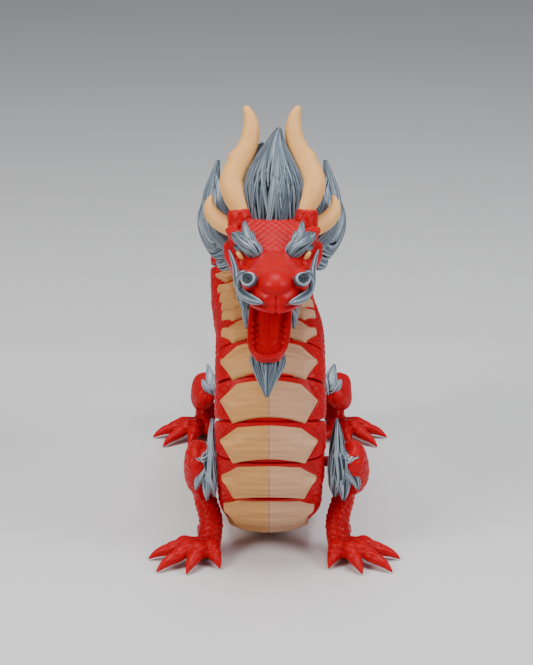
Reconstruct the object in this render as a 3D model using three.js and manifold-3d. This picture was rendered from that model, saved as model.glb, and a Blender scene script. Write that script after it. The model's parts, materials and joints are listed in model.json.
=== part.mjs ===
// Ball-jointed toy dragon, standing. Millimetres, +Z up, facing -Y.
import * as THREE from 'three';
import { mergeVertices } from 'three/addons/utils/BufferGeometryUtils.js';
import Module from 'manifold-3d';

const wasm = await Module();
wasm.setup();

// ---------------------------------------------------------------- driving dimensions
const HALF_WIDTH = 23;        // half width of a full size link
const BACK = 18;              // link centre line to the back
const BELLY = 12.4;           // link centre line to the seat of the belly plate
const LINK_GAP = 3.6;         // free gap between two link barrels, at rest
const BALL_R = 3.8;           // ball on the tail end of every link
const SOCKET_R = 5.05;        // ball seat inside the cup
const CUP_R = 6.3;            // outside of the cup
const CUP_REACH = 3;          // cup rim beyond the ball centre
const DISH_DEPTH = 4.4;       // hollow in the next link that clears the cup
const STEM_R = 1.9;
const PLATE_HALF_WIDTH = 19.6;
const PLATE_SEAT = 13.5;      // link centre line to the inside of the belly plate
const PLATE_THICK = 2.4;
const PIN_R = 1.5;            // jaw pin
const CHEST_JOINT = [10, 24.5]; // y, z of the joint under the lowest chest link

const RED = 0xd0101a;
const TAN = 0xe6c08f;
const GREY = 0x8e9fae;
const STEEL = 0xb8bcc0;

// Links from the head end to the tail end:
// name, pitch, lean (0 upright, + leans back going headward), side lean, size
const LINKS = [
  ['neck_01', 20, -84, 5, 0.92], ['neck_02', 18, -62, 6, 0.94], ['neck_03', 13, -31, 7, 0.96],
  ['neck_04', 13, 4, 4, 0.97], ['neck_05', 13.5, 39, -2, 0.98], ['neck_06', 14, 72, -6, 0.99],
  ['neck_07', 14, 88, -6, 1], ['neck_08', 14, 91, -3, 1], ['neck_09', 14, 88, -1, 1],
  ['neck_10', 13.5, 74, 0, 1], ['neck_11', 13.5, 51, 0, 1], ['neck_12', 13.5, 26, 0, 1],
  ['neck_13', 13.5, 4, 0, 1], ['neck_14', 14, -12, 0, 0.98], ['neck_15', 15, -34, 0, 0.95],
  ['body_01', 14, -60, 0, 0.86], ['body_02', 15, -86, 0, 0.9], ['body_03', 20, -96, 0, 0.97],
  ['body_04', 22, -91, 0, 1], ['body_05', 22, -90, 0, 1], ['body_06', 22, -90, 0, 1],
  ['body_07', 24, -89, 0, 0.98],
  ['tail_01', 22, -88, 0, 0.86], ['tail_02', 20, -87, 0, 0.74], ['tail_03', 19, -86, 0, 0.62],
  ['tail_04', 18, -88, 0, 0.52], ['tail_05', 17, -92, 0, 0.44],
];
const FIRST_PLATE = 9;        // neck links from here down carry a plate of their own

// Legs: the peg that turns in the side of its link, the knee ball and the ankle
const LEGS = [
  { label: 'front', link: 'neck_14', hip: [29, 3, 44], knee: [28, 13, 27.5], ankle: [25.8, 6, 13],
    turn: 0, tufted: true },
  { label: 'hind', link: 'body_07', hip: [29, 145, 26], knee: [31.5, 160, 22], ankle: [30, 158, 8],
    turn: -6, tufted: false },
];
const PEG_R = 2.4;
const PEG_REACH = 9.4;        // from the middle of the thigh into the link
const KNEE_BALL_R = 3.3;
const KNEE_SOCKET_R = 4.1;

// ---------------------------------------------------------------- helpers
const V = (x, y, z) => new THREE.Vector3(x, y, z);
const rad = THREE.MathUtils.degToRad;
const group = new THREE.Group();

function add(name, solid, color, roughness = 0.4, metalness = 0) {
  const material = new THREE.MeshStandardMaterial({ color, roughness, metalness });
  const mesh = new THREE.Mesh(fromSolid(solid), material);
  mesh.name = name;
  group.add(mesh);
  return solid;
}

function toSolid(geometry) {
  const g = geometry.clone();
  g.deleteAttribute('normal');
  g.deleteAttribute('uv');
  const m = mergeVertices(g, 1e-4);
  return new wasm.Manifold(new wasm.Mesh({
    numProp: 3,
    vertProperties: Float32Array.from(m.attributes.position.array),
    triVerts: Uint32Array.from(m.index.array),
  }));
}

function fromSolid(solid) {
  const mesh = solid.getMesh();
  const g = new THREE.BufferGeometry();
  g.setAttribute('position', new THREE.Float32BufferAttribute(mesh.vertProperties, 3));
  g.setIndex(Array.from(mesh.triVerts));
  const flat = g.toNonIndexed();
  flat.computeVertexNormals();
  return flat;
}

// Solid through a list of rings that all have the same number of points.
function loft(rings) {
  const n = rings[0].length;
  const points = rings.flat();
  const index = [];
  for (let r = 0; r + 1 < rings.length; r += 1) {
    for (let i = 0; i < n; i += 1) {
      const a = r * n + i;
      const b = r * n + (i + 1) % n;
      index.push(a, b, b + n, a, b + n, a + n);
    }
  }
  const last = (rings.length - 1) * n;
  for (let i = 1; i + 1 < n; i += 1) {
    index.push(0, i + 1, i);
    index.push(last, last + i, last + i + 1);
  }
  const build = (order) => {
    const g = new THREE.BufferGeometry().setFromPoints(points);
    g.setIndex(order);
    return toSolid(g);
  };
  const solid = build(index);
  if (solid.volume() > 0) return solid;
  const turned = [];
  for (let i = 0; i < index.length; i += 3) turned.push(index[i], index[i + 2], index[i + 1]);
  return build(turned);
}

// Tapering limb: stations are [x, y, z, half width, half thickness]; side is the width direction.
function limb(stations, side, sides = 8) {
  const centres = stations.map((s) => V(s[0], s[1], s[2]));
  return loft(stations.map((s, k) => {
    const a = centres[Math.max(0, k - 1)];
    const b = centres[Math.min(stations.length - 1, k + 1)];
    const along = b.clone().sub(a).normalize();
    const wide = side.clone().addScaledVector(along, -side.dot(along)).normalize();
    const thick = along.clone().cross(wide);
    return Array.from({ length: sides }, (_, i) => {
      const t = (2 * Math.PI * (i + 0.5)) / sides;
      return centres[k].clone().addScaledVector(wide, s[3] * Math.cos(t))
        .addScaledVector(thick, s[4] * Math.sin(t));
    });
  }));
}

function ball(centre, r, around = 6, rings = 4) {
  const g = new THREE.SphereGeometry(r, around, rings);
  g.rotateX(Math.PI / 2);
  g.translate(centre.x, centre.y, centre.z);
  return toSolid(g);
}

function rod(a, b, ra, rb, sides = 8) {
  const g = new THREE.CylinderGeometry(rb, ra, a.distanceTo(b), sides);
  g.applyQuaternion(new THREE.Quaternion().setFromUnitVectors(
    V(0, 1, 0), b.clone().sub(a).normalize()));
  const mid = a.clone().add(b).multiplyScalar(0.5);
  g.translate(mid.x, mid.y, mid.z);
  return toSolid(g);
}

function box(cx, cy, cz, sx, sy, sz) {
  const g = new THREE.BoxGeometry(sx, sy, sz);
  g.translate(cx, cy, cz);
  return toSolid(g);
}

function union(list) {
  return list.slice(1).reduce((a, b) => a.add(b), list[0]);
}

function largest(solid) {
  return solid.decompose().reduce((a, b) => (a.volume() >= b.volume() ? a : b));
}

function place(solid, matrix) {
  return solid.transform(matrix.elements.slice());
}

// Cut `tool` out of `solid` and leave a hairline gap between them.
function clearOf(solid, tool, gap = 0.3) {
  const steps = [[0, 0, 0], [gap, 0, 0], [-gap, 0, 0], [0, gap, 0], [0, -gap, 0], [0, 0, gap],
    [0, 0, -gap]];
  return steps.reduce((left, step) => left.subtract(tool.translate(step)), solid);
}

// ---------------------------------------------------------------- chain layout
const axisOf = (link) => {
  const t = rad(link[2]);
  const s = rad(link[3]);
  return V(Math.sin(s), Math.cos(s) * Math.sin(t), Math.cos(s) * Math.cos(t));
};
const joints = new Array(LINKS.length + 1);   // joints[i]: head end of link i
const chest = LINKS.findIndex((l) => l[0] === 'neck_15') + 1;
joints[chest] = V(0, CHEST_JOINT[0], CHEST_JOINT[1]);
for (let i = chest - 1; i >= 0; i -= 1) {
  joints[i] = joints[i + 1].clone().addScaledVector(axisOf(LINKS[i]), LINKS[i][1]);
}
for (let i = chest; i < LINKS.length; i += 1) {
  joints[i + 1] = joints[i].clone().addScaledVector(axisOf(LINKS[i]), -LINKS[i][1]);
}

function frameOf(i) {
  const z = axisOf(LINKS[i]);
  const t = rad(LINKS[i][2]);
  const y = V(0, Math.cos(t), -Math.sin(t));
  const x = y.clone().cross(z);
  const m = new THREE.Matrix4().makeBasis(x, y, z);
  return m.setPosition(joints[i].clone().add(joints[i + 1]).multiplyScalar(0.5));
}

// Direction of a neighbouring link's axis, seen in the frame of link i.
function seen(i, k) {
  const inverse = frameOf(i).invert();
  return axisOf(LINKS[k]).transformDirection(inverse);
}

// ---------------------------------------------------------------- one link
function outline(count, width, back, belly) {
  return Array.from({ length: count }, (_, i) => {
    const t = (2 * Math.PI * i) / count;
    const c = Math.cos(t);
    const s = Math.sin(t);
    const power = 2 / 2.6;
    const x = width * Math.sign(c) * Math.abs(c) ** power;
    const y = (s > 0 ? back : belly) * Math.sign(s) * Math.abs(s) ** power;
    return [Math.abs(x) < 1e-9 ? 0 : x, Math.abs(y) < 1e-9 ? 0 : y];
  });
}

function ends(i) {
  const half = LINKS[i][1] / 2;
  const cut = (direction, sign) => {
    const n = V(0, 0, 1).add(direction).normalize();
    return (x, y) => sign * (half - LINK_GAP / 2) - (n.x * x + n.y * y) / n.z;
  };
  const straight = V(0, 0, 1);
  const up = i > 0 ? seen(i, i - 1) : straight;
  const down = i + 1 < LINKS.length ? seen(i, i + 1) : straight;
  return [cut(down, -1), cut(up, 1)];
}

function makeLink(i) {
  const [name, pitch, , , size] = LINKS[i];
  const half = pitch / 2;
  const isLast = i === LINKS.length - 1;
  const belly = hasPlate(i) ? BELLY : BELLY + 2.6;
  const shape = outline(12, HALF_WIDTH * size, BACK * size, belly * Math.min(1, size + 0.02));
  const [low, high] = ends(i);
  const ring = (t, k) => shape.map(([x, y]) => {
    const a = low(x * k, y * k);
    const b = high(x * k, y * k);
    return V(x * k, y * k, a + (b - a) * t);
  });
  let solid = loft([ring(0, 0.86), ring(0.24, 1), ring(0.76, 1), ring(1, 0.86)]);

  const top = V(0, 0, half);
  const bottom = V(0, 0, -half);
  const along = (from, direction, d) => from.clone().addScaledVector(direction, d);
  if (!isLast) {
    const behind = seen(i, i + 1);
    solid = solid.subtract(rod(along(bottom, behind, -3), along(bottom, behind, DISH_DEPTH), 8.2, 6.6));
  }
  const outward = i > 0 ? seen(i, i - 1) : headAxis.clone()
    .transformDirection(frameOf(0).invert());
  solid = solid.add(rod(V(0, 0, half - 3.4), along(top, V(0, 0, 1), CUP_REACH), CUP_R, 5.5))
    .subtract(ball(top, SOCKET_R))
    .subtract(rod(top, along(top, outward, CUP_R + 2), 2, 5));
  if (!isLast) {
    solid = solid.add(rod(V(0, 0, DISH_DEPTH - half + 1.2), bottom, STEM_R, STEM_R, 6))
      .add(ball(bottom, BALL_R));
  }
  solid = place(largest(solid), frameOf(i));
  for (const leg of LEGS.filter((l) => l.link === name)) {
    const [x, y, z] = leg.hip;
    solid = solid.subtract(rod(V(-26, y, z), V(-x + PEG_REACH + 0.4, y, z), PEG_R + 0.35, PEG_R + 0.35))
      .subtract(rod(V(26, y, z), V(x - PEG_REACH - 0.4, y, z), PEG_R + 0.35, PEG_R + 0.35));
  }
  add(name, solid, RED, 0.35);
}

function hasPlate(i) {
  const [family, number] = LINKS[i][0].split('_');
  return family === 'neck' && Number(number) >= FIRST_PLATE;
}

// Six sided plate, bowed to the belly of its link.
function makePlate(i) {
  const [low, high] = ends(i);
  const across = [[-1, 0.3], [-0.74, 0.94], [0, 1], [0.74, 0.94], [1, 0.3]];
  const solid = loft(across.map(([u, tall]) => {
    const x = PLATE_HALF_WIDTH * LINKS[i][4] * u;
    const seat = -(PLATE_SEAT * LINKS[i][4] - 3.6 * u * u);
    const face = seat - PLATE_THICK * (1 - 0.4 * u * u);
    const a = low(x, seat);
    const b = high(x, seat);
    const mid = (a + b) / 2;
    const reach = (tall * (b - a)) / 2 + 0.3;
    return [V(x, seat, mid - reach), V(x, seat, mid + reach),
      V(x, face, mid + reach - 0.9), V(x, face, mid - reach + 0.9)];
  }));
  const number = LINKS[i][0].split('_')[1];
  add(`belly_plate_${number}`, place(solid, frameOf(i)), TAN, 0.5);
}

// ---------------------------------------------------------------- head
const HEAD_JOINT = joints[0];
const headAxis = V(0, -1, 0.02).normalize();
const HX = HEAD_JOINT.x;
const HY = HEAD_JOINT.y;
const HZ = HEAD_JOINT.z;
const JAW_PIN = [HX, HY - 38, HZ - 15];

// Head sections from the back of the skull to the nose:
// distance ahead of the neck joint, centre height, half width, up, down
function headRings(list, power) {
  return list.map(([ahead, up, w, t, b]) => outline(14, w, t, b).map(([x, y]) => {
    const s = Math.sign(x) * Math.abs(x / w) ** power * w;
    return V(HX + s, HY - ahead, HZ + up + y);
  }));
}
function makeHead() {
  const skullRings = [
    [7.2, 0, 12, 9, 9], [15, -0.5, 17, 10, 13], [27, -1.5, 19.3, 11, 17], [35, -3, 19, 9.5, 16],
    [41, -5, 17.5, 8, 13.5], [47, -7, 15.5, 6.5, 9], [54, -8.5, 13, 6, 6], [62, -8.5, 12.3, 8, 5.5],
    [70, -8.5, 12.6, 9.5, 5.5], [80, -9.5, 12.4, 8.5, 5], [88, -11, 9.5, 6, 3.5],
    [92.5, -12, 5.5, 3, 2],
  ];
  let skull = loft(headRings(skullRings, 1));
  const slot = box(HX, HY - 44, HZ - 19, 17.2, 44, 19.4);
  skull = skull.subtract(slot);
  skull = skull.add(rod(V(HX, HY - 12, HZ), V(HX, HY, HZ), STEM_R, STEM_R))
    .add(ball(V(HX, HY, HZ), BALL_R, 10, 6));
  const [px, py, pz] = JAW_PIN;
  skull = skull.subtract(rod(V(px - 16, py, pz), V(px + 16, py, pz), PIN_R + 0.3, PIN_R + 0.3, 10));
  skull = largest(skull);

  // Lower jaw, hanging open, with a groove that holds the tongue.
  const open = rad(28.5);
  const jawPoint = (d, x, h) => V(px + x, py - d * Math.cos(open) + h * Math.sin(open) * -1,
    pz - d * Math.sin(open) + h * Math.cos(open));
  const jawSection = ([d, w, t, b]) => [
    jawPoint(d, -w, t), jawPoint(d, -w * 0.72, t), jawPoint(d, -w * 0.62, t - 1.6),
    jawPoint(d, w * 0.62, t - 1.6), jawPoint(d, w * 0.72, t), jawPoint(d, w, t),
    jawPoint(d, w * 0.86, -b * 0.6), jawPoint(d, 0, -b), jawPoint(d, -w * 0.86, -b * 0.6)];
  let jaw = loft([[-4, 6.4, 3, 3.4], [8, 7, 3.4, 4.2], [22, 7.6, 3.2, 4], [36, 8.2, 2.8, 3.6],
    [45, 7.4, 2.6, 3], [50, 4, 2.2, 1.6]].map(jawSection));
  const tongue = loft([[6, 4, 2.6, 0], [24, 4.2, 3.2, 0], [39, 3.6, 3, 0], [44, 1.6, 2, 0]]
    .map(([d, w, t]) => [jawPoint(d, -w, 0), jawPoint(d, -w * 0.7, t), jawPoint(d, w * 0.7, t),
      jawPoint(d, w, 0)]));
  jaw = jaw.add(tongue);
  jaw = jaw.subtract(rod(V(px - 12, py, pz), V(px + 12, py, pz), PIN_R + 0.3, PIN_R + 0.3, 10));
  jaw = largest(jaw);
  add('skull', skull, RED, 0.35);
  add('lower_jaw', jaw, RED, 0.35);
  add('jaw_pin', rod(V(px - 14.5, py, pz), V(px + 14.5, py, pz), PIN_R, PIN_R, 10), STEEL, 0.3, 0.9);

  const beard = limb([
    [HX, HY - 72, HZ - 38, 6.4, 3.2], [HX, HY - 76, HZ - 42.5, 6.8, 3],
    [HX, HY - 78, HZ - 47, 5.2, 2.6], [HX + 0.2, HY - 79, HZ - 51.5, 2.4, 1.6],
    [HX + 0.4, HY - 79, HZ - 54.7, 0.5, 0.5]], V(1, 0, 0), 6);
  add('beard', largest(clearOf(beard, jaw)), GREY, 0.45);
  return skull;
}

const headPart = (name, solid, keepOff, color, rough) => {
  const clear = keepOff.reduce((a, b) => clearOf(a, b), solid);
  return add(name, largest(clear), color, rough);
};

function makeHeadTrim(skull) {
  const at = ([x, ahead, up, w, t]) => [HX + x, HY - ahead, HZ + up, w, t];
  for (const [side, s] of [['left', -1], ['right', 1]]) {
    const on = (list) => list.map(([x, ...rest]) => at([s * x, ...rest]));
    const horn = limb(on([
      [12.5, 29, 6, 5.2, 5.2], [14.5, 26, 15.5, 5.2, 4.8], [16, 23.5, 20.3, 4.6, 4.4],
      [15.2, 21, 25.3, 4.5, 4.2], [12.5, 19, 30, 4.2, 3.9], [9.5, 17.5, 34.3, 3.9, 3.6],
      [8.5, 15.5, 40, 3.2, 3], [9.2, 13.5, 46, 2.4, 2.2], [11.4, 12, 51, 0.7, 0.7]]), V(1, 0, 0));
    const hornClear = headPart(`horn_${side}`, horn, [skull], TAN, 0.5);
    const ear = limb(on([
      [16, 24, 1.5, 4.2, 3.6], [20.5, 20, 5.5, 3.4, 3], [23, 17, 10, 2, 1.8],
      [24, 15, 14, 0.6, 0.6]]), V(0, 1, 0), 6);
    const earClear = headPart(`ear_horn_${side}`, ear, [skull, hornClear], TAN, 0.5);
    const avoid = [skull, hornClear, earClear];
    const mane = union([
      limb(on([[16, 14, 6, 4, 7], [22, 8, 8, 3.4, 8], [24.4, 3, 17, 2.2, 5], [23.2, 0, 25, 0.6, 0.8]]),
        V(1, 0, 0), 6),
      limb(on([[16, 14, -4, 4, 8], [24, 9, -3, 3.4, 8.5], [28, 5, 3, 1.8, 4], [28.6, 2, 8, 0.5, 0.6]]),
        V(1, 0, 0), 6),
      limb(on([[15, 16, -8, 4, 6], [21.5, 12, -9, 3.2, 5], [22.5, 9, -14, 1.6, 3],
        [20, 7, -18, 0.5, 0.6]]), V(1, 0, 0), 6),
    ]);
    headPart(`cheek_mane_${side}`, mane, avoid, GREY, 0.45);
    const brow = union([
      limb(on([[5, 50, -3, 1.6, 1.6], [8.5, 47.5, 0, 3, 2.2], [12, 43.5, 2.5, 3, 2],
        [15.4, 41, 6, 0.5, 0.5]]), V(0, 0, 1), 6),
      limb(on([[9, 47, 0.5, 2, 2], [9.6, 45, 5, 1.6, 1.6], [8.2, 44, 9.5, 0.4, 0.4]]),
        V(1, 0, 0), 6)]);
    headPart(`brow_${side}`, brow, avoid, GREY, 0.45);
    const whisker = new THREE.ExtrudeGeometry(
      new THREE.Shape(Array.from({ length: 6 }, (_, i) => new THREE.Vector2(
        1.15 * Math.cos((i * Math.PI) / 3), 1.15 * Math.sin((i * Math.PI) / 3)))),
      {
        steps: 14,
        bevelEnabled: false,
        extrudePath: new THREE.CatmullRomCurve3([
          [17, 58, 2], [16.6, 62, -3], [15.6, 68, -7], [14, 77, -9], [12.2, 86, -10.2],
          [9, 92, -11.6], [5.5, 95, -13.4],
        ].map(([x, a, u]) => V(HX + s * x, HY - a, HZ + u))),
      });
    headPart(`whisker_${side}`, toSolid(whisker), [skull], GREY, 0.4);
  }
  const crest = union([
    limb([at([0, 30, 5, 8, 5]), at([0.2, 28, 10, 10.4, 5]), at([0.4, 26, 18.5, 12.2, 5]),
      at([1, 23, 27, 9.6, 4.2]), at([1.6, 21, 34, 5.6, 3]), at([2.4, 19, 39, 2.6, 1.8]),
      at([2.9, 18, 42.5, 0.6, 0.6])], V(1, 0, 0)),
    limb([at([-5, 22, 12, 4, 3]), at([-7, 18, 26, 3.4, 2.4]), at([-4, 15, 35.5, 0.6, 0.6])],
      V(1, 0, 0), 6),
    limb([at([5, 22, 12, 4, 3]), at([8, 18, 26, 3.4, 2.4]), at([5.4, 15, 35.5, 0.6, 0.6])],
      V(1, 0, 0), 6)]);
  const horns = ['left', 'right'].map((side) => toSolid(
    group.getObjectByName(`horn_${side}`).geometry));
  headPart('crest_mane', crest, [skull, ...horns], GREY, 0.45);
}

// ---------------------------------------------------------------- legs
// Toe directions in degrees from straight ahead, outward positive, with lengths.
const TOES = [[82, 25], [50, 27], [22, 21], [-24, 15]];

function makeLeg(label, s, { hip, knee, ankle, turn, tufted }) {
  const p = (q) => V(s * q[0], q[1], q[2]);
  const st = (q, w, t) => [s * q[0], q[1], q[2], w, t];
  const side = V(0, 1, 0.35).normalize();
  const lerp = (a, b, t) => a.map((v, k) => v + (b[k] - v) * t);
  const down = p(ankle).sub(p(knee)).normalize();
  const peg = rod(p([hip[0] - 2, hip[1], hip[2]]), p([hip[0] - PEG_REACH, hip[1], hip[2]]),
    PEG_R, PEG_R);
  const thigh = union([
    limb([st(lerp(hip, knee, -0.4), 5.4, 3.2), st(lerp(hip, knee, -0.1), 8.4, 4.8),
      st(lerp(hip, knee, 0.5), 8.6, 5.4), st(lerp(hip, knee, 1), 6.4, 5.2),
      st(lerp(hip, knee, 1.16), 4.4, 4)], side, 8), peg,
  ]).subtract(ball(p(knee), KNEE_SOCKET_R))
    .subtract(rod(p(knee), p(knee).addScaledVector(down, 9), 1.8, 7));
  const shank = p(knee).addScaledVector(down, 7);
  const start = [s * shank.x, shank.y, shank.z];
  const foot = union([
    ball(p(knee), KNEE_BALL_R),
    rod(p(knee), shank.clone().addScaledVector(down, 1), 1.6, 1.6, 6),
    limb([st(start, 4.6, 3.8), st(ankle, 4.6, 4.4), st([ankle[0] + 1, ankle[1] - 2, 6], 6, 5.2),
      st([ankle[0] + 1.4, ankle[1] - 3, -1], 6.5, 6)], V(0, 1, 0), 8),
    ...TOES.map(([angle, reach]) => {
      const a = rad(angle + turn);
      const out = (d, z, w, t) => st(
        [ankle[0] + 2 + d * Math.sin(a), ankle[1] - 3 - d * Math.cos(a), z], w, t);
      return limb([out(0, 4.6, 3.6, 4.2), out(reach * 0.4, 6.6, 3.2, 4), out(reach * 0.66, 5, 2.2, 3),
        out(reach, 0.9, 0.5, 0.6)], V(s * Math.cos(a), Math.sin(a), 0), 6);
    }),
  ]).subtract(box(s * ankle[0], ankle[1], -10, 120, 120, 20));
  add(`upper_leg_${label}`, largest(thigh), RED, 0.35);
  if (tufted) makeLegTuft(label, s, { hip }, thigh);
  add(`lower_leg_${label}`, largest(foot), RED, 0.35);
}

function makeLegTuft(label, s, { hip }, thigh) {
  const [x, y, z] = [s * (hip[0] - 2.8), hip[1] - 9, hip[2]];
  const tuft = limb([[x, y - 1.5, z + 9, 1.4, 0.8], [x, y - 1, z + 4, 3, 1.7], [x, y, z - 5, 2.8, 1.9],
    [x + s, y + 3, z - 13, 1.6, 1.4], [x + 2 * s, y + 6, z - 19, 0.5, 0.4]], V(1, 0, 0), 6);
  add(`leg_tuft_${label}`, largest(clearOf(tuft, thigh)), GREY, 0.45);
}

// ---------------------------------------------------------------- assembly
const headTools = makeHead();
makeHeadTrim(headTools);
LINKS.forEach((_, i) => {
  makeLink(i);
  if (hasPlate(i)) makePlate(i);
});
for (const [side, s] of [['left', -1], ['right', 1]]) {
  LEGS.forEach((leg) => makeLeg(`${leg.label}_${side}`, s, leg));
}
const tip = joints[LINKS.length];
add('tail_tuft', limb([[tip.x, tip.y + 0.2, tip.z, 4, 5], [tip.x, tip.y + 8, tip.z + 2, 5.5, 9],
  [tip.x, tip.y + 20, tip.z + 6, 3, 6], [tip.x, tip.y + 30, tip.z + 12, 0.6, 0.8]],
V(1, 0, 0), 8), GREY, 0.45);

// Stand the figure on the ground, centred.
const bounds = new THREE.Box3().setFromObject(group);
const centre = bounds.getCenter(V(0, 0, 0));
const shift = V(-centre.x, -centre.y, -bounds.min.z);
group.children.forEach((mesh) => mesh.geometry.translate(shift.x, shift.y, shift.z));

export default group;
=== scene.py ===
"""Looks of the ball-jointed dragon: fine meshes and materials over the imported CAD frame."""
import json
import math

import bpy
import bmesh
import numpy as np
from mathutils import Euler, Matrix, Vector


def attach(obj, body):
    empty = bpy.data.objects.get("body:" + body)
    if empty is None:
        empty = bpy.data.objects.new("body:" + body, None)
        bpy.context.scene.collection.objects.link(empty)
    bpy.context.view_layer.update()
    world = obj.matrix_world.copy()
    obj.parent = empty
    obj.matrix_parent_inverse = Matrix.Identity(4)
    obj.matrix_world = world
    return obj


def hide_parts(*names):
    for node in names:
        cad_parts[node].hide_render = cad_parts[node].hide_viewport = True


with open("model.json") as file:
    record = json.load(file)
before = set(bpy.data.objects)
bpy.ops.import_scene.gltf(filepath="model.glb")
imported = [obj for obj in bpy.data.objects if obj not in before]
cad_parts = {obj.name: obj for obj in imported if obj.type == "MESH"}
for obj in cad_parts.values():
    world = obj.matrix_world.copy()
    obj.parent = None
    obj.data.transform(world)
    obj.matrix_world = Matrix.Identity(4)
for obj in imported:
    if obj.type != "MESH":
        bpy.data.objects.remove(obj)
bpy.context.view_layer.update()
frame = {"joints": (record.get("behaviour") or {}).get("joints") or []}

MM = 0.001

# ------------------------------------------------------------------ sizes, in millimetres
# section of a full-size link, from its centre line
HALF_WIDTH, BACK, BELLY = 23.0, 18.0, 12.9
PLATE_HALF_WIDTH, PLATE_SEAT, PLATE_THICK = 20.2, 12.2, 4.1
TAIL_END_PITCH = 17.0
SCALE_SIZE, SCALE_HEIGHT = 3.6, 0.85
# the links from the head to the tail, and the size of each against a full one
CHAIN = [f"neck_{k:02d}" for k in range(1, 16)] + [f"body_{k:02d}" for k in range(1, 8)] \
    + [f"tail_{k:02d}" for k in range(1, 6)]
SIZE = [0.92, 0.94, 0.96, 0.97, 0.98, 0.99, 1, 1, 1, 1, 1, 1, 1, 0.98, 0.95,
        0.86, 0.9, 0.97, 1, 1, 1, 0.98, 0.86, 0.74, 0.62, 0.52, 0.44]
CHEST = CHAIN.index("neck_14")
# links whose belly plate is a node of the CAD
CAD_PLATES = {f"neck_{k:02d}": f"belly_plate_{k:02d}" for k in range(9, 16)}

JOINTS = {j["name"]: j for j in frame["joints"]}


def joint_at(name):
    """Place of a joint of the frame, in millimetres."""
    return np.array(JOINTS[name]["pos_m"], float) / MM


def unit(v):
    v = np.asarray(v, float)
    return v / np.linalg.norm(v)


def smoothstep(a, b, x):
    t = np.clip((x - a) / (b - a), 0, 1)
    return t * t * (3 - 2 * t)


# ------------------------------------------------------------------ materials
def principled(name):
    """A new material with its node tree and its main shader node."""
    material = bpy.data.materials.new(name)
    material.use_nodes = True
    tree = material.node_tree
    return material, tree, tree.nodes["Principled BSDF"]


def node(tree, kind, **settings):
    """Adds a node. Settings are socket values where a socket has that name, else properties."""
    made = tree.nodes.new(kind)
    for key, value in settings.items():
        if key in made.inputs:
            made.inputs[key].default_value = value
        else:
            setattr(made, key, value)
    return made


def ramp(tree, stops, source):
    """Colours over a 0..1 value. stops: (place, colour)."""
    made = tree.nodes.new("ShaderNodeValToRGB")
    elements = made.color_ramp.elements
    while len(elements) < len(stops):
        elements.new(0.5)
    for element, (place, colour) in zip(elements, stops):
        element.position = place
        element.color = (*colour, 1)
    tree.links.new(source, made.inputs["Fac"])
    return made.outputs["Color"]


def multiply(tree, first, second):
    mix = node(tree, "ShaderNodeMix", data_type="RGBA", blend_type="MULTIPLY")
    mix.inputs[0].default_value = 1
    tree.links.new(first, mix.inputs[6])
    tree.links.new(second, mix.inputs[7])
    return mix.outputs[2]


def bump_chain(tree, bsdf, layers):
    """layers: (height socket, distance in metres, strength), one bump on top of the other."""
    last = None
    for height, distance, strength in layers:
        bump = node(tree, "ShaderNodeBump", Strength=strength, Distance=distance)
        tree.links.new(height, bump.inputs["Height"])
        if last:
            tree.links.new(last, bump.inputs["Normal"])
        last = bump.outputs["Normal"]
    tree.links.new(last, bsdf.inputs["Normal"])


def layer_lines(tree, coords, direction, pitch):
    """Fine printed layer lines: bands along one axis, pitch in metres."""
    wave = node(tree, "ShaderNodeTexWave", Scale=0.314 / pitch, Distortion=0.6,
                wave_type="BANDS", bands_direction=direction)
    wave.inputs["Detail Scale"].default_value = 1.5
    tree.links.new(coords, wave.inputs["Vector"])
    return wave.outputs["Fac"]


def noise(tree, coords, scale, detail=3.0):
    made = node(tree, "ShaderNodeTexNoise", Scale=scale, Detail=detail)
    tree.links.new(coords, made.inputs["Vector"])
    return made.outputs["Fac"]


def red_material(name, light=(0.45, 0.0002, 0.005), crease_shade_colour=(0.11, 0.0, 0.002), rough=0.34):
    """Glossy red print, with painted shade in the creases between scales and a painted highlight on sharp
    crests, both by pointiness.
    """
    material, tree, bsdf = principled(name)
    coords = tree.nodes.new("ShaderNodeTexCoord").outputs["Object"]
    geometry = tree.nodes.new("ShaderNodeNewGeometry")
    # painted shade where the surface is hollow, painted highlight where it is sharply convex
    painted_crease_shading = ramp(tree, [(0.40, crease_shade_colour), (0.49, light), (0.60, tuple(1.25 * c for c in light))],
                  geometry.outputs["Pointiness"])
    mottled = ramp(tree, [(0.3, (0.86, 0.86, 0.86)), (0.7, (1.0, 1.0, 1.0))], noise(tree, coords, 160))
    tree.links.new(multiply(tree, painted_crease_shading, mottled), bsdf.inputs["Base Color"])
    rougher = ramp(tree, [(0.3, (rough - 0.06,) * 3), (0.7, (rough + 0.1,) * 3)], noise(tree, coords, 420))
    tree.links.new(rougher, bsdf.inputs["Roughness"])
    bsdf.inputs["Specular IOR Level"].default_value = 0.14
    bump_chain(tree, bsdf, [(layer_lines(tree, coords, "Z", 0.0005), 0.00003, 0.35),
                            (noise(tree, coords, 1500), 0.00003, 0.25)])
    return material


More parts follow.
